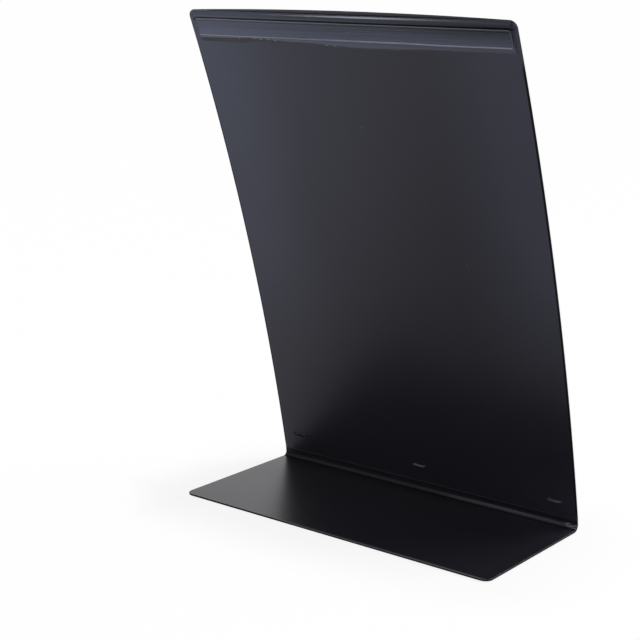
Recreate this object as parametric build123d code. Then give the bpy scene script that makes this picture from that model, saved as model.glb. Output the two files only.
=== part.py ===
"""Photo album stand: a curved steel back on a flat foot, with a hinged grip rail across its head."""
import os
from math import atan2, degrees, radians

from build123d import *

# Sheet: back and base are one piece of steel, bent along the fold
panel_width = 210.0
panel_length = 297.0  # from the fold to the crown of the top edge, along the sheet
crown_rise = 1.9  # the middle of the top edge stands this far above its corners
base_depth = 96.0  # front edge of the base to the back of the fold
sheet = 1.2
fold_radius = 2.5
crease_height = 2.8  # straight foot of the back, below the press line
crease_radius = 8.0
crease_lean = 7.0  # leans from upright, over the base
foot_lean = 12.6
head_lean = 24.0
top_corner_radius = 4.0
base_corner_radius = 5.0
edge_round = 0.25

# Three ledges pressed out of the back, for the foot of the page
ledge_length = 8.2
ledge_height = 1.6
ledge_proud = 1.0
ledge_round = 0.6
ledge_wall = 0.4
ledge_rise = 13.4  # up the sheet from the fold, at the left end
ledge_fall = 1.9  # the right ledge is this much lower than the left one
ledge_inset = 13.5  # side of the sheet to the middle of an outer ledge

# Pads under the base
pad_radius = 6.0
pad_thickness = 0.5
pad_inset = 16.0

# Grip rail, with drops measured down the sheet from the corners of its top edge
rail_inset = 3.6
rail_shift = 1.1  # the rail is stuck on a little to the right
tape_thickness = 0.2
tape_head = 0.8
tape_foot = 18.5  # at the left end
tape_rise = 1.3  # the foot of the tape is this much higher at the right end
leaf_thickness = 0.35
leaf_foot = 16.8
head_bead_drop = 1.725
head_bead_width = 4.05
head_bead_side = 0.2  # straight sides, out of the leaf
head_bead_proud = 0.8
hinge_drop = 4.6
hinge_radius = 0.32
hinge_clearance = 0.05
hook_wall = 0.25
hook_gap = 0.08
neck_thickness = 0.3
flap_thickness = 0.45
flap_reach = 9.1  # hinge to the middle of the lip
lip_radius = 0.5
lip_gap = 0.2
flap_opening = 25.0
rib_radius = 0.15
rib_pitch = 1.3
rib_count = 3
grip_width = 2.8
grip_thickness = 0.2
end_play = 0.3
pin_radius = 0.15
pin_length = 4.0
pin_head_radius = 0.6
pin_head_thickness = 0.9

deck = pad_thickness + sheet
curve_length = panel_length - crease_height - fold_radius
curve_radius = curve_length / radians(head_lean - foot_lean)


def bend_path(depth):
    """Edges of the front of the sheet, or of a line this deep inside it, from the base to the head."""
    level = deck - depth
    run = Line((-base_depth / 2, level), (base_depth / 2 - fold_radius - sheet, level))
    fold = JernArc(run @ 1, run % 1, fold_radius + depth, 90 + crease_lean)
    rise = Line(fold @ 1, fold @ 1 + (fold % 1) * crease_height)
    crease = JernArc(rise @ 1, rise % 1, crease_radius + depth, foot_lean - crease_lean)
    curve = JernArc(crease @ 1, crease % 1, curve_radius + depth, head_lean - foot_lean)
    return [run, fold, rise, crease, curve]


front = bend_path(0)
back = bend_path(sheet)
front_end = Line(front[0] @ 0, back[0] @ 0)
head_end = Line(front[-1] @ 1, back[-1] @ 1)
section = make_face(front + back + [front_end, head_end])
plate = extrude(Plane.YZ * section, panel_width / 2, both=True)


def facing(point, upward):
    """Plane on the front of the sheet: X across the stand, Y up the sheet, Z out of its front."""
    up = Vector(0, upward.X, upward.Y)
    return Plane((0, point.X, point.Y), x_dir=(1, 0, 0), z_dir=Vector(1, 0, 0).cross(up))


# Arched top edge and rounded corners
head_plane = facing(front[-1] @ 1, front[-1] % 1)
arch_radius = ((panel_width / 2) ** 2 + crown_rise**2) / (2 * crown_rise)
above_arch = Rectangle(panel_width * 1.1, crown_rise * 8) - Pos(0, -arch_radius) * Circle(arch_radius)
plate -= extrude(head_plane * above_arch, sheet * 3, both=True)
plate = fillet(plate.edges().filter_by(Axis((0, 0, 0), head_plane.z_dir)), top_corner_radius)
plate = fillet(plate.edges().filter_by(Axis.Z), base_corner_radius)

# Deburred edges, all round both faces
straights = plate.edges().filter_by(GeomType.LINE)
fold_lines = straights.filter_by(lambda edge: abs(edge.length - panel_width) < edge_round)
corner_lines = straights.filter_by(lambda edge: abs(edge.length - sheet) < edge_round / 10)
plate = fillet(plate.edges() - fold_lines - corner_lines, edge_round)

# Pressed ledges, each with its hollow in the back
rise_line = front[-1]
ledge_reach = panel_width / 2 - ledge_inset
for turn, across in enumerate((-ledge_reach, 0, ledge_reach)):
    along = (ledge_rise - ledge_fall * turn / 2 - crease_height) / rise_line.length
    spot = facing(rise_line.position_at(along), rise_line.tangent_at(along)) * Pos(across, 0, 0)
    ledge = extrude(SlotOverall(ledge_length, ledge_height), sheet / 2 + ledge_proud)
    ledge = fillet(ledge.edges().group_by(Axis.Z)[-1], ledge_round)
    plate += spot * Pos(0, 0, -sheet / 2) * ledge
    hollow = SlotOverall(ledge_length - 2 * ledge_wall, ledge_height - 2 * ledge_wall)
    hollow = extrude(hollow, sheet + ledge_proud)
    plate -= spot * Pos(0, 0, -2 * sheet) * hollow

# Rail frame: X out of the front of the sheet, Y down it, Z along the rail
curve = front[-1]
rail_top = curve.length - crown_rise


def on_sheet(drop):
    """Point on the front of the sheet this far below the corners of its top edge."""
    point = curve.position_at((rail_top - drop) / curve.length)
    return Vector(0, point.X, point.Y)


down = (on_sheet(tape_foot) - on_sheet(tape_head)).normalized()
rail_origin = on_sheet(tape_head) - down * tape_head
rail_frame = Plane(rail_origin, x_dir=down.cross(Vector(1, 0, 0)), z_dir=(1, 0, 0))
rail_face = Plane(rail_origin, x_dir=(1, 0, 0), z_dir=rail_frame.x_dir)
rail_length = panel_width - 2 * rail_inset
flap_length = rail_length - 2 * end_play


def along_rail(profile, length):
    """Profile in the rail frame, run along the rail."""
    return Pos(rail_shift, 0, 0) * extrude(rail_frame * profile, length / 2, both=True)


def strip(out_from, out_to, drop_from, drop_to):
    """Rectangle in the rail frame, between two distances out of the sheet and two drops."""
    middle = Pos((out_from + out_to) / 2, (drop_from + drop_to) / 2)
    return middle * Rectangle(out_to - out_from, drop_to - drop_from)


# Tape under the rail, its foot running up to the right
tape_left = rail_shift - rail_length / 2
tape_right = rail_shift + rail_length / 2
tape_head_line = Line((tape_left, -tape_head), (tape_right, -tape_head))
tape_foot_line = Line((tape_right, tape_rise - tape_foot), (tape_left, -tape_foot))
tape_ends = [Line(tape_head_line @ 1, tape_foot_line @ 0), Line(tape_foot_line @ 1, tape_head_line @ 0)]
tape_outline = make_face([tape_head_line, tape_foot_line] + tape_ends)
rail_tape = extrude(rail_face * tape_outline, tape_thickness)

# Rail base: a leaf with a low rounded bead along its head, and the hinge bead on a neck
leaf_face = tape_thickness + leaf_thickness
hook_radius = hinge_radius + hinge_clearance + hook_wall
hinge_out = leaf_face + hook_gap + hook_radius
hinge = Pos(hinge_out, hinge_drop)
bead_head = head_bead_drop - head_bead_width / 2
bead_foot = head_bead_drop + head_bead_width / 2
bead_side = leaf_face + head_bead_side
bead_crown = (leaf_face + head_bead_proud, head_bead_drop)
bead_arc = ThreePointArc((bead_side, bead_head), bead_crown, (bead_side, bead_foot))
bead_back = Polyline(bead_arc @ 1, (tape_thickness, bead_foot), (tape_thickness, bead_head), bead_arc @ 0)
head_bead = make_face([bead_arc, bead_back])
leaf = strip(tape_thickness, leaf_face, head_bead_drop, leaf_foot)
neck = strip(leaf_face, hinge_out, hinge_drop - neck_thickness / 2, hinge_drop + neck_thickness / 2)
rail_base = along_rail(leaf + head_bead + neck + hinge * Circle(hinge_radius), rail_length)

# Flap: a hook that turns on the hinge bead, a ribbed web and a round lip
lip_out = leaf_face + lip_gap + lip_radius
lip_drop = hinge_drop + (flap_reach**2 - (hinge_out - lip_out) ** 2) ** 0.5
web_turn = degrees(atan2(lip_drop - hinge_drop, lip_out - hinge_out))
web_frame = hinge * Rot(0, 0, web_turn)
web = web_frame * Pos(flap_reach / 2, 0) * Rectangle(flap_reach, flap_thickness)
lip = web_frame * Pos(flap_reach, 0) * Circle(lip_radius)
bore = hinge * Circle(hinge_radius + hinge_clearance)
mouth_low = degrees(atan2(neck_thickness / 2, hinge_radius)) + 8
mouth_high = mouth_low + flap_opening
mouth_reach = 2 * hook_radius
low_side = Rot(0, 0, 180 - mouth_low) * Line((0, 0), (mouth_reach, 0))
high_side = Rot(0, 0, 180 + mouth_high) * Line((0, 0), (mouth_reach, 0))
mouth = make_face(Polyline((0, 0), low_side @ 1, (-mouth_reach, 0), high_side @ 1, close=True))
flap_profile = hinge * Circle(hook_radius) + web + lip - bore - hinge * mouth
for rib in range(rib_count):
    rib_along = hook_radius + rib_pitch * (rib + 1)
    flap_profile += web_frame * Pos(rib_along, -flap_thickness / 2) * Circle(rib_radius)
grip_flap = along_rail(flap_profile, flap_length)

# Soft strip along the inside of the flap, just above its lip
grip_along = flap_reach - lip_radius - grip_width / 2
grip = Pos(grip_along, (flap_thickness + grip_thickness) / 2) * Rectangle(grip_width, grip_thickness)
grip_strip = along_rail(web_frame * grip, flap_length)

# Headed pins in the ends of the hinge bead keep the flap from sliding off
hinge_axis = rail_frame * Pos(hinge_out, hinge_drop, 0)
end_pins = {}
for side, sign in (("left", -1), ("right", 1)):
    end = Pos(rail_shift + sign * rail_length / 2, 0, 0) * hinge_axis
    shank = Pos(0, 0, -sign * pin_length / 2) * Cylinder(pin_radius, pin_length)
    head = Pos(0, 0, sign * pin_head_thickness / 2) * Cylinder(pin_head_radius, pin_head_thickness)
    end_pins["end_pin_" + side] = end * (shank + head)
    rail_base -= end * shank

# Pads stuck under the corners of the base
pads = {}
for depth_name, pad_y in (("front", -base_depth / 2 + pad_inset), ("rear", base_depth / 2 - pad_inset)):
    for side, sign in (("left", -1), ("right", 1)):
        pad_x = sign * (panel_width / 2 - pad_inset)
        pad = Pos(pad_x, pad_y, pad_thickness / 2) * Cylinder(pad_radius, pad_thickness)
        pads["foot_pad_" + depth_name + "_" + side] = pad

nodes = {
    "stand_plate": plate,
    "rail_tape": rail_tape,
    "rail_base": rail_base,
    "grip_flap": grip_flap,
    "grip_strip": grip_strip,
    **end_pins,
    **pads,
}
os.makedirs("parts", exist_ok=True)
for name, shape in nodes.items():
    export_step(shape, "parts/" + name + ".step")
print("hinge axis through", hinge_axis.position)
print("nodes", len(nodes))
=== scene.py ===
from math import asin, atan2, copysign, cos, degrees, pi, radians, sin, sqrt

import bmesh
import bpy
from mathutils import Matrix, Vector, noise


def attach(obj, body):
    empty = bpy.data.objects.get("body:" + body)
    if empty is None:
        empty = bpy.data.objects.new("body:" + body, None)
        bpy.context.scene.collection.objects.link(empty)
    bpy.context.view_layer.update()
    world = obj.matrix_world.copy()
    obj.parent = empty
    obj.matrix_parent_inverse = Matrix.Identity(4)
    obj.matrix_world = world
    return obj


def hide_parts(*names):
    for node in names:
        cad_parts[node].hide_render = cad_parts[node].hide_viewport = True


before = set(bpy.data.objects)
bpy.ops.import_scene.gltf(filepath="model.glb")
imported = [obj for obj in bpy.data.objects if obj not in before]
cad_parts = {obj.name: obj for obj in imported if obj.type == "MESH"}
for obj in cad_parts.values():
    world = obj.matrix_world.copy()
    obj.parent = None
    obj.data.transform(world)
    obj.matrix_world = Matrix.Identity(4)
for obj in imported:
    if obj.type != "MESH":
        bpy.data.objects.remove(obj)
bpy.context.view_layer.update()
scene = bpy.context.scene
mm = 0.001  # pieces are drawn in millimetres and scaled at the end


class Wire:  # one shader value: sums on it add Math nodes
    def __init__(self, paint, socket):
        self.paint = paint
        self.socket = socket

    def sum(self, operation, first, second):
        return self.paint.node("Math", {"operation": operation}, {0: first, 1: second})

    def __add__(self, other):
        return self.sum("ADD", self, other)

    def __sub__(self, other):
        return self.sum("SUBTRACT", self, other)

    def __rsub__(self, other):
        return self.sum("SUBTRACT", other, self)

    def __mul__(self, other):
        return self.sum("MULTIPLY", self, other)

    def __pow__(self, other):
        return self.sum("POWER", self, other)

    def __or__(self, other):  # the larger of two masks
        return self.sum("MAXIMUM", self, other)

    def __and__(self, other):  # the smaller of two
        return self.sum("MINIMUM", self, other)

    def __abs__(self):
        return self.sum("ABSOLUTE", self, 0.0)

    __radd__ = __add__
    __rmul__ = __mul__

    def fade(self, low, high):  # 0 below low, 1 above high, smooth between
        ends = {"Value": self, "From Min": low, "From Max": high}
        return self.paint.node("MapRange", {"interpolation_type": "SMOOTHSTEP"}, ends)


class Paint:  # one node tree, and the one method that adds nodes to it
    def __init__(self, owner, name):
        self.owner = owner.new(name)
        self.owner.use_nodes = True
        self.tree = self.owner.node_tree
        self.tree.nodes.clear()

    def node(self, kind, settings=None, sockets=None, out=0):
        made = self.tree.nodes.new("ShaderNode" + kind)
        for key, value in (settings or {}).items():
            setattr(made, key, value)
        for key, value in (sockets or {}).items():
            if isinstance(value, Wire):
                self.tree.links.new(value.socket, made.inputs[key])
            else:
                made.inputs[key].default_value = value
        return Wire(self, made.outputs[out]) if len(made.outputs) else made

    def place(self, stretch=(1, 1, 1)):  # object coordinates in millimetres, divided by the stretch
        where = self.node("TexCoord", out="Object")
        shrink = tuple(1 / (mm * s) for s in stretch)
        return self.node("VectorMath", {"operation": "MULTIPLY"}, {0: where, 1: shrink})

    def flat(self):  # across and along the sheet before it was bent, in millimetres
        where = self.node("UVMap", {"uv_map": "flat"})
        where = self.node("VectorMath", {"operation": "MULTIPLY"}, {0: where, 1: (1 / mm, 1 / mm, 0)})
        return tuple(self.node("SeparateXYZ", None, {0: where}, axis) for axis in (0, 1))

    def grain(self, size, detail=2.0, rough=0.5, stretch=(1, 1, 1), shift=0.0):
        ends = {"Vector": self.place(stretch), "W": shift, "Scale": 1 / size}
        ends.update({"Detail": detail, "Roughness": rough})
        return self.node("TexNoise", {"noise_dimensions": "4D"}, ends)

    def blend(self, mask, first, second):  # two colours mixed by a mask
        return self.node("Mix", {"data_type": "RGBA"}, {0: mask, 6: first, 7: second}, 2)

    def bump(self, height, distance, under=None):  # distance in millimetres
        ends = {"Height": height, "Distance": distance * mm, "Strength": 1.0}
        if under:
            ends["Normal"] = under
        return self.node("Bump", None, ends)

    def skin(self, colour, roughness, normal, **fixed):  # fixed sockets are named with _ for a space
        ends = {key.replace("_", " "): value for key, value in fixed.items()}
        ends.update({"Base Color": colour, "Roughness": roughness, "Normal": normal})
        return self.node("BsdfPrincipled", None, ends)

    def rays(self, kind):  # 1 for rays of that kind
        return self.node("LightPath", out=f"Is {kind} Ray")

    def finish(self, surface):
        kind = "OutputWorld" if isinstance(self.owner, bpy.types.World) else "OutputMaterial"
        self.node(kind, None, {"Surface": surface})
        return self.owner


def grey(level, blue=1.0):
    return (level, level, level * blue, 1)


coatLook = {  # places are in millimetres, across from the middle or along from the base's free edge
    "black": 0.006,
    "blue": 1.6,  # blue share of the black
    "wearAndHighlight": 0.5,
    "coatSheenTint": (0.0448, 0.0504, 0.0784, 1),  # painted sheen: a pale bluish tint on the upper margins, most to the upper left, for reflected light
    "marginAcross": (40, 100),
    "marginAlong": (160, 270),
    "leftSheenAcross": (-20, 110),
    "leftSheenAlong": (250, 380),
    "foldSheen": 0.16,  # the same tint as a painted highlight around the right end of the fold
    "foldSheenAcross": (10, 105),
    "foldSheenAlong": 97,
    "foldSheenWide": (6, 40),
    "roughness": 0.34,
    "mattRoughness": 0.6,
    "cloudSize": 60,
    "cloud": 0.06,
    "peelSize": 1.3,
    "peel": 0.0035,
    "poreSize": 0.35,
    "rim": 0.8,  # width of the thin, matt coat along the edges of the back
    "rimStart": (100, 104),
    "rimEnd": (364, 370),
    "fold": (92.0, 92.8),  # the fold takes little coat: where it starts, its inside ends and it ends
    "innerEnd": (94.9, 95.4),
    "innerThin": 0.68,
    "bendEnd": (96.4, 97.0),
    "bendThin": 0.85,
    "bendRight": (0, 75),  # it takes more towards the right
    "bendGain": 0.55,
    "rise": (96.6, 97.2),  # the foot of the back takes little too
    "riseEnd": (98.6, 99.4),
    "riseThin": 0.65,
    "front": 0.09,  # pale paint on the base's front edge, a painted highlight on its rounding
    "frontHighlightWide": (0.5, 1.5),
    "cornerAcross": (96.5, 101),  # scraped at the right end of the fold
    "cornerAlong": 95.3,
    "cornerSlant": 0.08,
    "cornerWide": (0.7, 1.5),
    "ledgeScuffAndHighlight": (0.0, 0.05, 0.16),  # scuffed coat and a painted highlight along each ledge's crown, brighter to the right
    "ledgeLine": (0.15, 0.45),
    "ledgeEnd": (3.7, 4.2),
    "mattLine": (0.3, 0.7),  # the left ledge is matt, with a run of thick coat at its end
    "mattEnd": (3.6, 4.4),
    "runOff": (4.2, 0.6),
    "runSize": (0.3, 0.9),
    "chip": 0.3,
    "chips": (  # across, along, radius
        (75.8, 74.2, 0.55),
        (-102.2, 380.7, 0.55),
        (-1.8, 325.5, 0.4),
        (51.2, 248.8, 0.35),
        (-60, 150, 0.3),
        (20, 30, 0.3),
    ),
}


def coatWearAndHighlights(across, along, streaks):  # bare scrapes and chips, and scuffed coat with a painted highlight along the ledges
    slant = (across - 100) * coatLook["cornerSlant"]
    scrape = abs(along - coatLook["cornerAlong"] + slant).fade(*coatLook["cornerWide"])
    wearAndHighlights = across.fade(*coatLook["cornerAcross"]) * (1 - scrape) * streaks
    for u, ledgeShine in zip(ledgeShape["across"], coatLook["ledgeScuffAndHighlight"]):
        line = abs(along - pressLine(u)).fade(*coatLook["ledgeLine"])
        wearAndHighlights = wearAndHighlights | (1 - (line | abs(across - u).fade(*coatLook["ledgeEnd"]))) * ledgeShine
    for u, v, radius in coatLook["chips"]:
        off = (across - u) ** 2 + (along - v) ** 2
        wearAndHighlights = wearAndHighlights | (1 - off.fade((0.5 * radius) ** 2, radius**2)) * coatLook["chip"]
    return wearAndHighlights


def thinCoat(across, along, pores):  # where the coat is thin and matt
    rim = sheetShape["width"] / 2 - abs(across) + (pores - 0.5) * 0.3
    sides = 1 - rim.fade(coatLook["rim"] * 0.7, coatLook["rim"] * 1.3)
    sides = sides * along.fade(*coatLook["rimStart"]) * (1 - along.fade(*coatLook["rimEnd"]))
    start = along.fade(*coatLook["fold"])
    inner = start * (1 - along.fade(*coatLook["innerEnd"])) * coatLook["innerThin"]
    uneven = coatLook["bendThin"] - across.fade(*coatLook["bendRight"]) * coatLook["bendGain"]
    bend = start * (1 - along.fade(*coatLook["bendEnd"])) * uneven
    rise = along.fade(*coatLook["rise"]) * (1 - along.fade(*coatLook["riseEnd"])) * coatLook["riseThin"]
    left = ledgeShape["across"][0]
    up = along - pressLine(left)
    shiny = abs(up).fade(*coatLook["mattLine"]) | abs(across - left).fade(*coatLook["mattEnd"])
    runAcross, runUp = coatLook["runOff"]
    shiny = shiny & ((across - left + runAcross) ** 2 + (up - runUp) ** 2).fade(*coatLook["runSize"])
    return sides | inner | bend | rise | (1 - shiny)


def powderCoat():
    paint = Paint(bpy.data.materials, "satin black powder coat")
    across, along = paint.flat()
    cloud = paint.grain(coatLook["cloudSize"], 4, 0.6)
    peel = paint.grain(coatLook["peelSize"], 2, 0.5)
    pores = paint.grain(coatLook["poreSize"], 1, 0.5, shift=3)
    streaks = paint.grain(0.7, 4, 0.7, (6, 1, 1), 5).fade(0.46, 0.56)
    wearAndHighlights = coatWearAndHighlights(across, along, streaks)
    # painted sheen on the upper margins and upper left, and a painted highlight at the fold's right end,
    # in a pale bluish tint
    margin = abs(across).fade(*coatLook["marginAcross"]) * along.fade(*coatLook["marginAlong"])
    leftSheen = (0.0 - across).fade(*coatLook["leftSheenAcross"]) * along.fade(*coatLook["leftSheenAlong"])
    foldSheen = 1 - abs(along - coatLook["foldSheenAlong"]).fade(*coatLook["foldSheenWide"])
    foldSheen = across.fade(*coatLook["foldSheenAcross"]) * foldSheen * coatLook["foldSheen"]
    # painted highlight along the base's front edge
    front = (1 - along.fade(*coatLook["frontHighlightWide"])) * (0.6 + cloud * 0.4)
    dark, light = (grey(coatLook["black"] * share, coatLook["blue"]) for share in (0.8, 1.25))
    black = paint.blend(cloud, dark, light)
    colour = paint.blend((margin * (0.7 + cloud * 0.6) + leftSheen) * 0.5 + foldSheen, black, coatLook["coatSheenTint"])
    colour = paint.blend(front, colour, grey(coatLook["front"], 1.1))
    colour = paint.blend(wearAndHighlights, colour, grey(coatLook["wearAndHighlight"], 1.05))
    roughness = coatLook["roughness"] + (cloud - 0.5) * coatLook["cloud"]
    roughness = roughness + (pores - 0.5) * 0.06 + wearAndHighlights * 0.2
    normal = paint.bump(pores, coatLook["peel"] * 0.4, paint.bump(peel, coatLook["peel"]))
    gloss = paint.skin(colour, roughness, normal, IOR=1.5, Specular_Tint=(0.9, 0.87, 1, 1))
    matt = paint.skin(black, coatLook["mattRoughness"], normal, Specular_IOR_Level=0.05)
    thin = thinCoat(across, along, pores)
    return paint.finish(paint.node("MixShader", None, {0: thin, 1: gloss, 2: matt}))


def edgeCoat():
    paint = Paint(bpy.data.materials, "thin coat on the cut edges")
    drag = paint.grain(0.5, 3, 0.6, (3, 3, 3), 1)
    fine = paint.grain(0.2, 2)
    colour = paint.blend(drag, grey(coatLook["black"], 1.1), grey(coatLook["black"] * 2.2, 1.1))
    roughness = 0.5 + (fine - 0.5) * 0.3
    normal = paint.bump(fine, 0.01, paint.bump(drag, 0.02))
    return paint.finish(paint.skin(colour, roughness, normal, Specular_IOR_Level=0.05))


plasticLook = {
    "black": 0.006,
    "roughness": 0.16,
    "lines": 0.004,
    "scuff": 0.12,
    "railSheenTint": (0.113, 0.123, 0.187, 1),  # painted sheen: a pale bluish tint, low down and to the left, for reflected light
    "leaf": (277.5, 279.5),  # heights: the bead above gets the least painted sheen
    "flap": (268.5, 277.5),
    "left": (-10, 105),
    "lipHighlight": 0.3,  # pale paint on the lip, a painted highlight, brightest towards the ends
    "lipHighlightEnds": (-30, 90),
    "dust": 0.18,  # dust with painted light in the groove and on the sawn ends, most to the left, lifting their shade
    "dustAndLightLeft": (-60, 110),
    "dustAndLightLeast": 0.2,
}


def railPlastic(name, pale=None, where=None):  # where gives how much of the pale colour shows at x
    paint = Paint(bpy.data.materials, name)
    x, z = (paint.node("SeparateXYZ", None, {0: paint.place()}, axis) for axis in (0, 2))
    lines = paint.grain(0.5, 3, 0.6, (160, 1, 1))
    waves = paint.grain(9, 2, 0.5, (4, 1, 1), 2)
    scuff = paint.grain(2.2, 5, 0.7, (3, 1, 1), 7).fade(0.55, 0.75)
    # painted sheen: paler lower down the rail and to the left
    railSheen = (1 - z.fade(*plasticLook["leaf"])) * 0.15 + (1 - z.fade(*plasticLook["flap"])) * 0.4
    railSheen = railSheen + (0.0 - x).fade(*plasticLook["left"]) * 0.4 + (lines - 0.5) * 0.6
    colour = paint.blend(scuff, grey(plasticLook["black"], 1.15), grey(plasticLook["black"] * 2.2, 1.1))
    colour = paint.blend(railSheen, colour, plasticLook["railSheenTint"])
    if where:
        colour = paint.blend(where(x) * (0.75 + scuff * 0.25), colour, grey(plasticLook[pale], 1.1))
    roughness = plasticLook["roughness"] + scuff * plasticLook["scuff"] + (lines - 0.5) * 0.06
    normal = paint.bump(lines, plasticLook["lines"], paint.bump(waves, 0.02))
    return paint.finish(paint.skin(colour, roughness, normal, IOR=1.5, Specular_Tint=(0.8, 0.83, 1, 1)))


def dustAndLightAt(x):
    least = plasticLook["dustAndLightLeast"]
    return least + (0.0 - x).fade(*plasticLook["dustAndLightLeft"]) * (1 - least)


softLook = {"black": 0.012, "roughness": 0.62, "grainSize": 0.25}


def softPlastic():
    paint = Paint(bpy.data.materials, "soft black grip")
    fine = paint.grain(softLook["grainSize"], 2)
    cloud = paint.grain(14, 3, 0.6, (3, 1, 1), 1)
    colour = paint.blend(cloud, grey(softLook["black"]), grey(softLook["black"] * 1.9))
    roughness = softLook["roughness"] + (fine - 0.5) * 0.15
    return paint.finish(paint.skin(colour, roughness, paint.bump(fine, 0.03), IOR=1.48))


tapeLook = {"black": 0.048, "milk": 0.3, "roughness": 0.7}


def foamTape():
    paint = Paint(bpy.data.materials, "dark foam tape")
    cells = paint.node("TexVoronoi", None, {"Vector": paint.place(), "Scale": 2.4})
    cloud = paint.grain(6, 3, 0.6)
    colour = paint.blend(cloud, grey(tapeLook["black"], 1.1), grey(tapeLook["black"] * 2, 1.1))
    roughness = tapeLook["roughness"] + (cells - 0.4) * 0.2
    return paint.finish(paint.skin(colour, roughness, paint.bump(cells, 0.05), Specular_IOR_Level=0.2))


def tapeGlue():
    paint = Paint(bpy.data.materials, "squeezed-out adhesive")
    cloud = paint.grain(1.1, 3, 0.6)
    colour = paint.blend(cloud, grey(tapeLook["milk"] * 0.6), grey(tapeLook["milk"], 1.04))
    return paint.finish(paint.skin(colour, 0.2 + cloud * 0.2, paint.bump(cloud, 0.04), IOR=1.47))


steelLook = {"dark": 0.015, "light": 0.06, "roughness": 0.3}


def pinSteel():
    paint = Paint(bpy.data.materials, "darkened steel")
    turned = paint.grain(0.14, 3, 0.6, (1, 6, 6))
    stain = paint.grain(0.8, 4, 0.65, shift=4)
    colour = paint.blend(stain, grey(steelLook["dark"], 1.05), grey(steelLook["light"], 1.05))
    roughness = steelLook["roughness"] + (turned - 0.5) * 0.2 + (stain - 0.5) * 0.2
    return paint.finish(paint.skin(colour, roughness, paint.bump(turned, 0.01), Metallic=1.0))


padLook = {"black": 0.013, "roughness": 0.75}


def padRubber():
    paint = Paint(bpy.data.materials, "matt pad rubber")
    fine = paint.grain(0.4, 3, 0.6)
    dust = paint.grain(3.5, 4, 0.7, shift=2).fade(0.5, 0.8)
    colour = paint.blend(dust, grey(padLook["black"]), grey(padLook["black"] * 3))
    roughness = padLook["roughness"] + (fine - 0.5) * 0.2
    return paint.finish(paint.skin(colour, roughness, paint.bump(fine, 0.05), IOR=1.5))


def addPiece(bm, name, node, body, materials, sharp=40):
    bmesh.ops.remove_doubles(bm, verts=bm.verts, dist=1e-4)
    bmesh.ops.recalc_face_normals(bm, faces=bm.faces)
    bmesh.ops.scale(bm, vec=(mm, mm, mm), verts=bm.verts)
    mesh = bpy.data.meshes.new(name)
    bm.to_mesh(mesh)
    bm.free()
    mesh.shade_smooth()
    mesh.set_sharp_from_angle(angle=radians(sharp))
    for material in materials:
        mesh.materials.append(material)
    piece = bpy.data.objects.new(name, mesh)
    scene.collection.objects.link(piece)
    piece.modifiers.new("even shading", "WEIGHTED_NORMAL").keep_sharp = True
    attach(piece, body)
    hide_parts(node)
    return piece


def clamp(share):
    return min(1, max(0, share))


def vertsOf(geom):
    return [part for part in geom if isinstance(part, bmesh.types.BMVert)]


def edgesOf(geom):
    return [part for part in geom if isinstance(part, bmesh.types.BMEdge)]


def roundOff(bm, geom, offset, steps, affect="EDGES"):
    bmesh.ops.bevel(
        bm, geom=geom, offset=offset, segments=steps, profile=0.5, affect=affect, material=-1
    )


sheetShape = {
    "width": 210.0,
    "thick": 1.2,
    "start": (-48.0, 1.7),  # front edge of the base, on its upper face
    "bends": [  # length, and turn in degrees
        (92.3, 0.0),  # base
        (4.2324, 97.0),  # fold
        (2.8, 0.0),  # foot of the back
        (0.7819, 5.6),  # press line
        (291.7, 11.4),  # curved back
    ],
    "rows": [6, 16, 2, 4, 0],  # cuts for each of those, the back's own being below
    "backRows": 72,
    "crown": 1.9,
    "topCorner": 4.0,
    "baseCorner": 5.0,
    "edgeRound": 0.25,
    "creaseDeep": 0.05,
    "creaseHalf": 0.45,
}
ledgeShape = {
    "rise": 10.6,  # from the press line above the fold to the left ledge
    "fall": 1.9,  # the right ledge is this much lower
    "across": (-91.5, 0.0, 91.5),
    "length": 9.0,
    "height": 1.2,
    "proud": 1.0,
    "crown": 0.45,
    "wall": 0.3,
    "smile": 0.35,  # the ends are this much higher than the middle
    "root": 0.25,  # rounding at the foot, in front and behind
    "backRoot": 0.15,
    "backCrown": 0.2,
    "margin": 1.0,
    "easeLow": (1, 6),  # the fall eases in from the crease over this far
    "easeHigh": (24, 18),  # and out again above the ledges
}
sheetLength = sum(length for length, turn in sheetShape["bends"])
sheetHead = sheetLength - sheetShape["crown"]  # corners of the top edge


def pressLine(x):  # how far along the sheet the row of ledges lies
    first, last = ledgeShape["across"][0], ledgeShape["across"][-1]
    left = sheetLength - sheetShape["bends"][-1][0] + ledgeShape["rise"]
    return left - ledgeShape["fall"] * (x - first) / (last - first)


def onSheet(along, depth=0.0):  # y and z of a point, along the front face from the base's free edge
    y, z = sheetShape["start"]
    lean = 0.0
    for length, turn in sheetShape["bends"]:
        part = min(along, length)
        angle = radians(turn) * part / length
        if turn:
            radius = length / radians(turn)
            y += radius * (sin(lean + angle) - sin(lean))
            z += radius * (cos(lean) - cos(lean + angle))
        else:
            y += part * cos(lean)
            z += part * sin(lean)
        lean += angle
        along -= part
        if along <= 0:
            break
    return y + depth * sin(lean), z - depth * cos(lean)


def cut(bm, at, direction):
    geom = bm.verts[:] + bm.edges[:] + bm.faces[:]
    bmesh.ops.bisect_plane(bm, geom=geom, dist=1e-5, plane_co=at, plane_no=direction)


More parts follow.
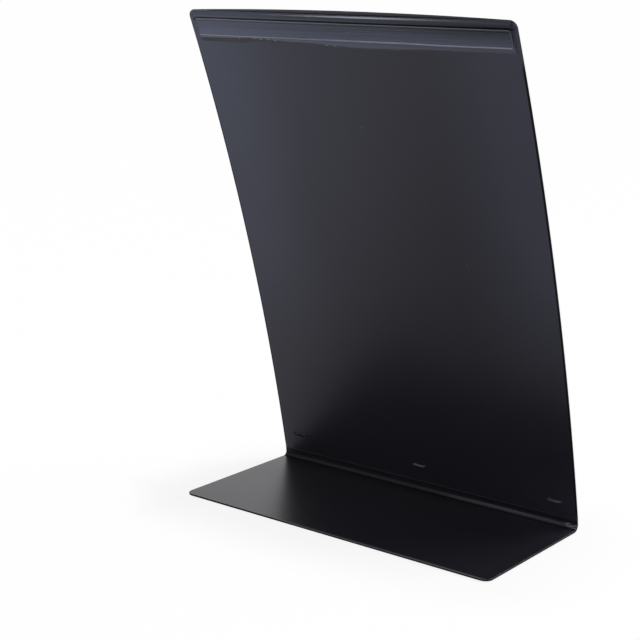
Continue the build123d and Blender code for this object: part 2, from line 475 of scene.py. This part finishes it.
def pressInto(bm, centre, length, height, rootRound, crownRound):  # a slot pushed up out of one cell
    flat = [face for face in bm.faces if abs(face.normal.z) > 0.9]
    level = [face for face in flat if abs(face.calc_center_median().z - centre.z) < 0.1]
    cell = min(level, key=lambda face: (face.calc_center_median() - centre).length)
    rim = cell.edges[:]
    bmesh.ops.delete(bm, geom=[cell], context="FACES_ONLY")
    split = bmesh.ops.subdivide_edges(bm, edges=rim, cuts=5)["geom_split"]
    rim = [edge for edge in edgesOf(split) if edge.is_boundary]
    turn = Matrix.Translation(centre) @ Matrix.Rotation(radians(7.5), 4, "Z")
    ring = bmesh.ops.create_circle(bm, segments=24, radius=height / 2, matrix=turn)["verts"]
    for vert in ring:
        vert.co.x += copysign((length - height) / 2, vert.co.x - centre.x)
    foot = list({edge for vert in ring for edge in vert.link_edges})
    sides = sorted(foot, key=lambda edge: edge.calc_length())[-2:]
    foot = [edge for edge in foot if edge not in sides]
    foot += edgesOf(bmesh.ops.subdivide_edges(bm, edges=sides, cuts=7)["geom_split"])
    for vert in {vert for edge in foot for vert in edge.verts}:
        vert.co.y += ledgeShape["smile"] * ((2 * (vert.co.x - centre.x) / length) ** 2 - 0.4)
    bmesh.ops.bridge_loops(bm, edges=rim + foot)
    cap = bmesh.ops.contextual_create(bm, geom=foot)["faces"]
    raised = bmesh.ops.extrude_face_region(bm, geom=cap)["geom"]
    bmesh.ops.translate(bm, vec=(0, 0, ledgeShape["proud"]), verts=vertsOf(raised))
    bmesh.ops.delete(bm, geom=cap, context="FACES_ONLY")  # the slot stays open to the sheet
    for edges, offset, steps in ((foot, rootRound, 3), (edgesOf(raised), crownRound, 6)):
        roundOff(bm, edges, offset, steps)


def buildSheet(coat, edgeBlack):
    half, thick = sheetShape["width"] / 2, sheetShape["thick"]
    bm = bmesh.new()
    outline = ((-half, 0, 0), (half, 0, 0), (half, sheetHead, 0), (-half, sheetHead, 0))
    corners = [bm.verts.new(spot) for spot in outline]
    bm.faces.new(corners)
    roundOff(bm, corners[:2], sheetShape["baseCorner"], 10, "VERTICES")
    roundOff(bm, corners[2:], sheetShape["topCorner"], 10, "VERTICES")
    high = [edge for edge in bm.edges if min(vert.co.y for vert in edge.verts) > sheetHead - 0.01]
    bmesh.ops.subdivide_edges(bm, edges=[max(high, key=lambda edge: edge.calc_length())], cuts=27)
    for vert in bm.verts:
        if vert.co.y > sheetHead - sheetShape["topCorner"] - 0.01:
            vert.co.y += sheetShape["crown"] * (1 - (vert.co.x / half) ** 2)

    reach = ledgeShape["length"] / 2 + ledgeShape["margin"]
    rise = ledgeShape["height"] / 2 + ledgeShape["margin"]
    columns = sorted(x + side * reach for x in ledgeShape["across"] for side in (-1, 1))
    gap = columns[2] - columns[1]
    columns += [first + gap * step / 6 for first in (columns[1], columns[3]) for step in range(1, 6)]
    for x in columns:
        cut(bm, (x, 0, 0), (1, 0, 0))
    along = 0.0
    for (length, turn), cuts in zip(sheetShape["bends"], sheetShape["rows"]):
        for step in range(cuts):
            cut(bm, (0, along + length * (step + 1) / cuts, 0), (0, 1, 0))
        along += length
    crease = along - length - sheetShape["bends"][3][0] / 2
    for step in (-1, -0.6, 0.6, 1):
        cut(bm, (0, crease + step * sheetShape["creaseHalf"], 0), (0, 1, 0))
    press = along - length + ledgeShape["rise"]
    for low in (rise + 3.5, rise):
        cut(bm, (0, press - low, 0), (0, 1, 0))
    rows = sheetShape["backRows"]
    for step in range(rows):
        cut(bm, (0, press + rise + (sheetHead - press - rise) * step / rows, 0), (0, 1, 0))
    print("sheet cut out:", len(bm.faces), "faces")

    layer = bmesh.ops.extrude_face_region(bm, geom=bm.faces[:])["geom"]
    bmesh.ops.translate(bm, vec=(0, 0, -thick), verts=vertsOf(layer))
    bmesh.ops.recalc_face_normals(bm, faces=bm.faces)
    rim = [edge for edge in bm.edges if edge.calc_face_angle() > 1]
    roundOff(bm, rim, sheetShape["edgeRound"], 3)
    bm.normal_update()
    for face in bm.faces:
        face.material_index = int(abs(face.normal.z) < 0.2)
    long, high, wall = (ledgeShape[key] for key in ("length", "height", "wall"))
    front = long, high, ledgeShape["root"], ledgeShape["crown"]
    behind = long - 2 * wall, high - 2 * wall, ledgeShape["backRoot"], ledgeShape["backCrown"]
    for x in ledgeShape["across"]:
        pressInto(bm, Vector((x, press, 0)), *front)
        pressInto(bm, Vector((x, press, -thick)), *behind)
    flat = bm.loops.layers.uv.new("flat")
    first, last = ledgeShape["across"][0], ledgeShape["across"][-1]
    (lowStart, lowEase), (highEnd, highEase) = ledgeShape["easeLow"], ledgeShape["easeHigh"]
    for vert in bm.verts:  # the row of ledges falls to the right, and the rows of faces near it
        near = clamp((vert.co.y - crease - lowStart) / lowEase)
        near *= clamp((press + highEnd - vert.co.y) / highEase)
        vert.co.y -= near * ledgeShape["fall"] * (vert.co.x - first) / (last - first)
        dip = 1 - ((vert.co.y - crease) / sheetShape["creaseHalf"]) ** 2
        if dip > 0 and vert.co.z > -thick / 2:
            vert.co.z -= sheetShape["creaseDeep"] * dip
    for face in bm.faces:
        for loop in face.loops:
            loop[flat].uv = loop.vert.co.xy * mm
    for vert in bm.verts:
        vert.co.y, vert.co.z = onSheet(vert.co.y, -vert.co.z)
    return addPiece(bm, "standSheet", "stand_plate", "stand", [coat, edgeBlack], 50)


railShape = {
    "left": -100.3,
    "right": 102.5,
    "endPlay": 0.3,
    "steps": 90,
    "tapeThick": 0.2,
    "tapeHead": 0.8,
    "tapeFoot": 18.5,
    "leafFace": 0.55,
    "leafFoot": 16.8,
    "leafWave": (  # x along the rail, and how much lower the leaf's foot is there
        (-100, -0.9), (-62, -1.6), (-30, -0.6), (10, 0.9), (30, 0.8), (52, -0.1), (103, -0.5),
    ),
    "waveFrom": 8.0,  # only the leaf below this drop runs out of square
    "tapeShown": (  # x along the rail, and how much tape shows below the leaf
        (-100, 2.1), (-72, 2.9), (-52, 1.5), (-28, 1.4), (10, 0.8), (103, 0.75),
    ),
    "beadDrop": 1.825,
    "beadWide": 4.25,
    "beadSide": 0.75,
    "beadOut": 1.65,
    "hingeOut": 1.25,
    "hingeDrop": 4.6,
    "hingeRadius": 0.32,
    "neck": 0.3,
    "slope": 0.6,  # the ends lean back by this much for each millimetre out of the leaf
}


def railFrame():  # x along the rail, y out of the sheet, z down it
    head, foot = (Vector((0, *onSheet(sheetHead - railShape[key]))) for key in ("tapeHead", "tapeFoot"))
    down = (foot - head).normalized()
    out = down.cross(Vector((1, 0, 0)))
    origin = head - down * railShape["tapeHead"]
    return Matrix.Translation(origin) @ Matrix((Vector((1, 0, 0)), out, down)).transposed().to_4x4()


class Pen:  # draws a section, out along y and down along z, then runs it along x or turns it about z
    def __init__(self, out, drop):
        self.bm = bmesh.new()
        self.tip = self.bm.verts.new((0, out, drop))

    def line(self, out, drop, steps=1):
        start, end = self.tip.co.copy(), Vector((0, out, drop))
        for step in range(steps):
            self.tip = bmesh.ops.extrude_vert_indiv(self.bm, verts=[self.tip])["verts"][0]
            self.tip.co = start.lerp(end, (step + 1) / steps)

    def arc(self, out, drop, turn, steps):  # about that centre, in degrees from out towards down
        about = {"cent": (0, out, drop), "axis": (1, 0, 0), "angle": radians(turn)}
        swept = bmesh.ops.spin(self.bm, geom=[self.tip], steps=steps, **about)
        self.tip = vertsOf(swept["geom_last"])[0]

    def run(self, left, right, steps, soften=()):
        bm = self.bm
        bmesh.ops.remove_doubles(bm, verts=bm.verts, dist=1e-4)
        bmesh.ops.contextual_create(bm, geom=bm.edges[:])
        for spot, offset in soften:
            near = min(bm.verts, key=lambda vert: (vert.co - Vector((0, *spot))).length)
            roundOff(bm, [near], offset, 4, "VERTICES")
        bmesh.ops.translate(bm, vec=(left, 0, 0), verts=bm.verts)
        geom = bm.faces[:] + bm.edges[:] + bm.verts[:]
        stride = ((right - left) / steps, 0, 0)
        bmesh.ops.spin(bm, geom=geom, axis=(1, 0, 0), dvec=stride, angle=0, steps=steps)
        return bm

    def turn(self, steps):
        geom = self.bm.verts[:] + self.bm.edges[:]
        bmesh.ops.spin(self.bm, geom=geom, axis=(0, 0, 1), angle=2 * pi, steps=steps, use_merge=True)
        bmesh.ops.remove_doubles(self.bm, verts=self.bm.verts, dist=1e-4)  # closes the poles
        return self.bm


def wander(x, size, seed):  # slow random sway along the rail, about -1 to 1
    return 1.6 * noise.noise(Vector((x / size, seed, 0.5)))


def slopeEnds(bm, out):  # out gives how far a vertex stands out of the sheet
    ends = [max(vert.co.x for vert in bm.verts), min(vert.co.x for vert in bm.verts)]
    for vert in bm.verts:
        for end in ends:
            if abs(vert.co.x - end) < 1e-4:
                back = railShape["slope"] * max(0, out(vert) - railShape["leafFace"])
                vert.co.x -= copysign(back, end)
                break


def between(steps, x):  # eased from one (place, value) step to the next
    for (start, first), (end, last) in zip(steps, steps[1:]):
        if x <= end:
            share = max(0, (x - start) / (end - start))
            return first + (last - first) * share * share * (3 - 2 * share)
    return steps[-1][1]


def buildRailBase(toSheet, materials):
    back, face, foot = (railShape[key] for key in ("tapeThick", "leafFace", "leafFoot"))
    beadDrop, side, crown = (railShape[key] for key in ("beadDrop", "beadSide", "beadOut"))
    reach = railShape["beadWide"] / 2
    dome = (reach**2 + (crown - side) ** 2) / (2 * (crown - side))
    hinge, hingeDrop, bead = (railShape[key] for key in ("hingeOut", "hingeDrop", "hingeRadius"))
    half = railShape["neck"] / 2
    neckEnd = hinge - sqrt(bead**2 - half**2)
    pen = Pen(back, foot)
    pen.line(back, beadDrop - reach, 8)
    pen.line(side, beadDrop - reach)
    pen.arc(crown - dome, beadDrop, 2 * degrees(asin(reach / dome)), 24)
    pen.line(face, beadDrop + reach)
    pen.line(face, hingeDrop - half)
    pen.line(neckEnd, hingeDrop - half)
    pen.arc(hinge, hingeDrop, 360 - 2 * degrees(atan2(half, hinge - neckEnd)), 24)
    pen.line(face, hingeDrop + half)
    pen.line(face, foot, 8)
    pen.line(back, foot)
    soften = [
        ((back, beadDrop - reach), 0.15),
        ((side, beadDrop - reach), 0.3),
        ((side, beadDrop + reach), 0.2),
        ((face, beadDrop + reach), 0.12),
        ((face, hingeDrop - half), 0.06),
        ((face, hingeDrop + half), 0.06),
        ((face, foot), 0.14),
        ((back, foot), 0.06),
    ]
    bm = pen.run(railShape["left"], railShape["right"], railShape["steps"], soften)
    for facet in bm.faces:
        spot = facet.calc_center_median()
        inside = railShape["left"] + 0.01 < spot.x < railShape["right"] - 0.01
        groove = beadDrop + reach - 0.25 < spot.z < hingeDrop and face - 0.01 < spot.y < crown
        # the groove and the sawn ends take the dust colour, which also paints light into their shade
        facet.material_index = int(groove or not inside)
    slopeEnds(bm, lambda vert: vert.co.y)
    for vert in bm.verts:
        low = max(0, (vert.co.z - railShape["waveFrom"]) / (foot - railShape["waveFrom"]))
        vert.co.z += low * (between(railShape["leafWave"], vert.co.x) + 0.08 * wander(vert.co.x, 7, 3))
        if vert.co.y > side and vert.co.z < beadDrop + reach:
            vert.co.y -= 0.03 * (1 + wander(vert.co.x, 30, 8)) * (vert.co.y - side) / (crown - side)
    bmesh.ops.transform(bm, matrix=toSheet, verts=bm.verts)
    return addPiece(bm, "railBase", "rail_base", "stand", materials)


flapShape = {
    "hook": 0.62,
    "bore": 0.37,
    "mouth": (146.885, -121.885),  # lower and upper side, in degrees from straight out
    "thick": 0.45,
    "reach": 9.1,
    "lipOut": 1.25,
    "lip": 0.5,
    "crest": 0.47,  # the hook is this high, and the web thins out from it
    "thins": 0.5,
    "rib": 0.07,
    "ribs": (1.92, 3.22, 4.52),
    "sway": 0.18,  # the lip wanders this much up and down
    "dish": 0.15,  # the web is this hollow
    "flare": 0.2,  # and stands out by this much at the lip
}


def flapTurn():
    fall = sqrt(flapShape["reach"] ** 2 - (railShape["hingeOut"] - flapShape["lipOut"]) ** 2)
    return atan2(fall, flapShape["lipOut"] - railShape["hingeOut"])


def hangFlap(bm, toSheet):  # the flap is drawn about the hinge, y towards the lip, z towards the leaf
    hook, reach = flapShape["hook"], flapShape["reach"]
    slopeEnds(bm, lambda vert: railShape["hingeOut"] - vert.co.z)
    for vert in bm.verts:
        far = clamp((vert.co.y - hook) / (reach - hook))
        vert.co.z += flapShape["dish"] * 4 * far * (1 - far)
        vert.co.y += far**2 * flapShape["sway"] * (wander(vert.co.x, 38, 5) - 0.8)
        vert.co.z -= far**2 * (flapShape["flare"] + 0.05 * wander(vert.co.x, 46, 11))
    hinge = Matrix.Translation((0, railShape["hingeOut"], railShape["hingeDrop"]))
    bmesh.ops.transform(bm, matrix=toSheet @ hinge @ Matrix.Rotation(flapTurn(), 4, "X"), verts=bm.verts)


def flapSpan():
    play = railShape["endPlay"]
    return railShape["left"] + play, railShape["right"] - play, railShape["steps"]


def buildFlap(toSheet, materials):
    hook, bore, lip, reach, rib = (flapShape[key] for key in ("hook", "bore", "lip", "reach", "rib"))
    half = flapShape["thick"] / 2
    low, high = (angle - degrees(flapTurn()) for angle in flapShape["mouth"])  # the web runs along y
    lowSide, highSide = ((cos(radians(angle)), sin(radians(angle))) for angle in (low, high))
    root, lipStart = sqrt(hook**2 - half**2), reach - sqrt(lip**2 - half**2)
    rootTurn = degrees(atan2(half, root))
    pen = Pen(hook * highSide[0], hook * highSide[1])
    pen.arc(0, 0, -rootTurn - high, 26)
    for spot in flapShape["ribs"]:
        pen.line(spot - rib, -half, 2)
        pen.arc(spot, -half, 180, 8)
    pen.line(lipStart, -half, 6)
    pen.arc(reach, 0, 360 - 2 * degrees(atan2(half, reach - lipStart)), 28)
    pen.line(root, half, 12)
    pen.arc(0, 0, low - rootTurn, 6)
    pen.line(bore * lowSide[0], bore * lowSide[1])
    pen.arc(0, 0, high - low, 26)
    pen.line(hook * highSide[0], hook * highSide[1])
    soften = [((root, -half), 0.25), ((lipStart, -half), 0.25), ((lipStart, half), 0.25)]
    bm = pen.run(*flapSpan(), soften)
    for facet in bm.faces:
        spot = facet.calc_center_median()
        fromLip = Vector((0, spot.y - reach, spot.z))
        # the sawn ends take the dust colour, which also paints light into their shade
        if not flapSpan()[0] + 0.01 < spot.x < flapSpan()[1] - 0.01:
            facet.material_index = 2
        # the lip's upper outer face takes the painted highlight
        elif fromLip.length > lip * 0.9 and fromLip.y > -lip * 0.7 and fromLip.z < -lip * 0.45:
            facet.material_index = 1
        elif spot.y < -0.1 and spot.yz.length > hook * 0.9:  # dust with painted light on the hook's upper side, lifting its shade
            facet.material_index = 2
    for vert in bm.verts:
        far = (vert.co.y - root) / (reach - root)
        if vert.co.z < 0 and far > 0:
            vert.co.z -= (flapShape["crest"] - half) * max(0, 1 - far / flapShape["thins"]) ** 2
        vert.co.z = max(vert.co.z, -flapShape["crest"]) if far < flapShape["thins"] else vert.co.z
    hangFlap(bm, toSheet)
    return addPiece(bm, "gripFlap", "grip_flap", "flap", materials)


gripShape = {"from": 5.8, "to": 8.6, "thick": 0.2, "ridges": 5}


def buildGrip(toSheet, material):
    half, start, end = flapShape["thick"] / 2, gripShape["from"], gripShape["to"]
    top, dip = half + gripShape["thick"], half + gripShape["thick"] * 0.6
    pitch = (end - start) / gripShape["ridges"]
    pen = Pen(start, half)
    pen.line(end, half, 5)
    pen.line(end, dip)
    for ridge in range(gripShape["ridges"]):
        near = end - pitch * ridge
        for share, height in ((0.2, top), (0.8, top), (1, dip)):
            pen.line(near - pitch * share, height)
    pen.line(start, half)
    bm = pen.run(*flapSpan())
    hangFlap(bm, toSheet)
    return addPiece(bm, "gripStrip", "grip_strip", "flap", [material])


glueShape = {
    "at": (-72.5, -61.5, -57, -52, -47, -12.3, -7.1),
    "size": (0.75, 0.25, 0.4),
    "below": 0.2,
}


def leafEnd(x):  # drop of the leaf's foot
    return railShape["leafFoot"] + between(railShape["leafWave"], x)


def buildTape(toSheet, foam, glue):
    left, right, head, foot = (railShape[key] for key in ("left", "right", "tapeHead", "tapeFoot"))
    bm = bmesh.new()
    bmesh.ops.create_grid(bm, x_segments=170, y_segments=6, size=0.5)
    for vert in bm.verts:
        x, low = left + (vert.co.x + 0.5) * (right - left), 0.5 - vert.co.y
        ragged = 0.12 * wander(x, 5, 2) + 0.08 * wander(x, 1.6, 9)
        shown = leafEnd(x) + between(railShape["tapeShown"], x)
        vert.co = (x, 0, head + low * (foot - head) + low**4 * (shown - foot - ragged))
    layer = bmesh.ops.extrude_face_region(bm, geom=bm.faces[:])["geom"]
    bmesh.ops.translate(bm, vec=(0, railShape["tapeThick"], 0), verts=vertsOf(layer))
    for x in glueShape["at"]:
        scale = 0.8 + 0.25 * (1 + wander(x, 3, 6))
        spot = Matrix.Translation((x, railShape["tapeThick"], leafEnd(x) + glueShape["below"]))
        size = Matrix.Diagonal((*(part * scale for part in glueShape["size"]), 1))
        blob = bmesh.ops.create_icosphere(bm, subdivisions=3, radius=1, matrix=spot @ size)["verts"]
        for face in {face for vert in blob for face in vert.link_faces}:
            face.material_index = 1
    bmesh.ops.transform(bm, matrix=toSheet, verts=bm.verts)
    return addPiece(bm, "railTape", "rail_tape", "stand", [foam, glue])


pinShape = {
    "shank": 0.15,
    "length": 4.0,
    "point": 0.1,
    "head": 0.6,
    "headThick": 0.9,
    "headEdge": 0.08,
    "shoulder": 0.4,
}


def buildPin(toSheet, side, name, node, material):
    shank, head, shoulder, top = (pinShape[key] for key in ("shank", "head", "shoulder", "headThick"))
    dome = (head**2 + (top - shoulder) ** 2) / (2 * (top - shoulder))
    pen = Pen(0, -pinShape["length"])
    pen.line(shank * 0.6, -pinShape["length"])
    pen.line(shank, pinShape["point"] - pinShape["length"])
    pen.line(shank, 0, 3)
    pen.line(head - pinShape["headEdge"], 0)
    pen.line(head, pinShape["headEdge"])
    pen.line(head, shoulder)
    pen.arc(0, top - dome, 90 - degrees(atan2(shoulder - top + dome, head)), 8)
    bm = pen.turn(32)
    end = railShape["right"] if side > 0 else railShape["left"]
    spot = Matrix.Translation((end, railShape["hingeOut"], railShape["hingeDrop"]))
    laid = Matrix.Rotation(side * pi / 2, 4, "Y")
    bmesh.ops.transform(bm, matrix=toSheet @ spot @ laid, verts=bm.verts)
    return addPiece(bm, name, node, "stand", [material], 50)


padShape = {
    "radius": 6.0,
    "thick": 0.5,
    "across": 89.0,
    "deep": 32.0,
    "edge": 0.14,
    "topEdge": 0.05,
    "rings": (2.0, 3.6, 5.0),
    "ring": ((-0.35, 0), (-0.2, 0.12), (0.2, 0.12), (0.35, 0)),  # section of one groove
}


def buildPad(x, y, name, node, material):
    radius, thick, edge = (padShape[key] for key in ("radius", "thick", "edge"))
    pen = Pen(0, 0)
    for ring in padShape["rings"]:
        for near, rise in padShape["ring"]:
            pen.line(ring + near, rise)
    pen.line(radius - edge, 0)
    pen.arc(radius - edge, edge, 90, 4)
    pen.line(radius, thick - padShape["topEdge"])
    pen.line(radius - padShape["topEdge"], thick)
    pen.line(0, thick)
    bm = pen.turn(64)
    bmesh.ops.translate(bm, vec=(x, y, 0), verts=bm.verts)
    return addPiece(bm, name, node, "stand", [material], 50)


plastic = railPlastic("glossy black extruded plastic")
dustyAndLit = railPlastic("dust in the groove", "dust", dustAndLightAt)
lipHighlight = railPlastic("rubbed lip", "lipHighlight", lambda x: abs(x).fade(*plasticLook["lipHighlightEnds"]))
steel, rubber = pinSteel(), padRubber()
toSheet = railFrame()
buildSheet(powderCoat(), edgeCoat())
print("sheet bent")
buildRailBase(toSheet, [plastic, dustyAndLit])
buildFlap(toSheet, [plastic, lipHighlight, dustyAndLit])
buildGrip(toSheet, softPlastic())
buildTape(toSheet, foamTape(), tapeGlue())
buildPin(toSheet, -1, "endPinLeft", "end_pin_left", steel)
buildPin(toSheet, 1, "endPinRight", "end_pin_right", steel)
print("rail fitted")
for deepName, deep in (("front", -1), ("rear", 1)):
    for sideName, side in (("left", -1), ("right", 1)):
        name = "footPad" + deepName.title() + sideName.title()
        node = f"foot_pad_{deepName}_{sideName}"
        buildPad(side * padShape["across"], deep * padShape["deep"], name, node, rubber)
print("pads stuck on")

stageLook = {
    "floor": 0.86,
    "white": 0.985,  # share of plain white that the camera sees in the floor
    "beside": 0.87,  # the same close to the stand, where its shadow lies
    "base": (105, 48),  # half the stand's footprint, in millimetres
    "shadow": (2, 60),  # how far that shadow reaches out of it
    "gloss": 0.15,  # the same in reflections, rising to the left
    "glossLeft": (95, 270),
    "sky": 0.5,
    "high": 0.22,  # the darker part, in front and overhead
    "frontFrom": (-0.1, 0.2),
    "frontAbove": (0.05, 0.25),
    "overhead": (0.35, 0.6),
}


def buildStage():
    bm = bmesh.new()
    bmesh.ops.create_grid(bm, x_segments=1, y_segments=1, size=60)
    mesh = bpy.data.meshes.new("floor")
    bm.to_mesh(mesh)
    bm.free()
    floor = bpy.data.objects.new("floor", mesh)
    scene.collection.objects.link(floor)
    paint = Paint(bpy.data.materials, "pale floor")
    shade = paint.blend(paint.grain(4, 3), grey(stageLook["floor"] * 0.985), grey(stageLook["floor"]))
    ends = {"Base Color": shade, "Roughness": 1.0, "Specular IOR Level": 0.0}
    matt = paint.node("BsdfPrincipled", None, ends)
    glow = paint.node("Emission", None, {"Color": (1, 1, 1, 1), "Strength": 1.0})
    cool = paint.node("Emission", None, {"Color": (0.88, 0.92, 1, 1), "Strength": 1.0})
    x, y = (paint.node("SeparateXYZ", None, {0: paint.place()}, axis) for axis in (0, 1))
    away = ((abs(x) - stageLook["base"][0]) | 0.0) + ((abs(y) - stageLook["base"][1]) | 0.0)
    beside, white = stageLook["beside"], stageLook["white"]
    white = beside + away.fade(*stageLook["shadow"]) * (white - beside)
    mirrored = paint.rays("Glossy") | paint.rays("Transmission")
    shine = (0.0 - x).fade(*stageLook["glossLeft"]) * (1 - stageLook["gloss"])
    shine = stageLook["gloss"] + shine
    below = paint.node("MixShader", None, {0: mirrored * shine, 1: matt, 2: cool})
    seen = paint.rays("Camera") * white
    mesh.materials.append(paint.finish(paint.node("MixShader", None, {0: seen, 1: below, 2: glow})))

    sky = Paint(bpy.data.worlds, "studio")
    way = sky.node("TexCoord", out="Generated")
    y, z = (sky.node("SeparateXYZ", None, {0: way}, axis) for axis in (1, 2))
    front = (0.0 - y).fade(*stageLook["frontFrom"]) * z.fade(*stageLook["frontAbove"])
    dark = front | z.fade(*stageLook["overhead"])
    plain, bright, high = (
        sky.node("Background", None, {"Color": grey(level), "Strength": 1.0})
        for level in (stageLook["sky"], 1.0, stageLook["high"])
    )
    shown = sky.node("MixShader", None, {0: dark, 1: bright, 2: high})
    seen = sky.rays("Camera") | sky.rays("Glossy") | sky.rays("Transmission")
    scene.world = sky.finish(sky.node("MixShader", None, {0: seen, 1: plain, 2: shown}))


lamps = {  # a glint shows only in gloss, and level is how bright the lamp looks
    "key": {
        "spot": (0.66, 0.86, 1.2), "aim": (-0.05, -0.05, 0.1),
        "size": (0.8, 0.8), "level": 8.5, "glint": False,
    },
    "top": {
        "spot": (-0.7, -0.55, 1.05), "aim": (0, -0.04, 0.28),
        "size": (0.9, 0.4), "level": 3.2, "glint": True,
    },
    "front": {
        "spot": (-0.53, -0.78, 0.36), "aim": (0.05, 0, 0.2),
        "size": (0.09, 0.4), "level": 9.5, "glint": True,
    },
    "back": {
        "spot": (-1.3, 1.48, 0.6), "aim": (-0.09, 0, 0),
        "size": (1.4, 0.9), "level": 0.35, "glint": True,
    },
}


def buildLamps():
    for name, lamp in lamps.items():
        light = bpy.data.lights.new(name, "AREA")
        light.shape = "RECTANGLE"
        light.size, light.size_y = lamp["size"]
        light.energy = lamp["level"] * pi * lamp["size"][0] * lamp["size"][1]
        holder = bpy.data.objects.new(name, light)
        holder.visible_diffuse = not lamp["glint"]
        spot = Vector(lamp["spot"])
        facing = (spot - Vector(lamp["aim"])).to_track_quat("Z", "Y")
        holder.matrix_world = Matrix.Translation(spot) @ facing.to_matrix().to_4x4()
        scene.collection.objects.link(holder)


cameraSet = {
    "spot": (0.4746, -0.6720, 0.3024),
    "turn": 37.61,
    "dip": 12.91,
    "roll": 0.88,
    "lens": 84.47,
}


def buildCamera():
    view = bpy.data.cameras.new("camera")
    view.lens, view.sensor_width = cameraSet["lens"], 36
    view.clip_start, view.clip_end = 0.01, 300
    holder = bpy.data.objects.new("camera", view)
    pose = Matrix.Translation(cameraSet["spot"])
    turns = (cameraSet["turn"], "Z"), (90 - cameraSet["dip"], "X"), (cameraSet["roll"], "Z")
    for angle, axis in turns:
        pose = pose @ Matrix.Rotation(radians(angle), 4, axis)
    holder.matrix_world = pose
    scene.collection.objects.link(holder)
    scene.camera = holder


buildStage()
buildLamps()
buildCamera()
scene.view_settings.view_transform = "Standard"
print("stage, lamps and camera set")
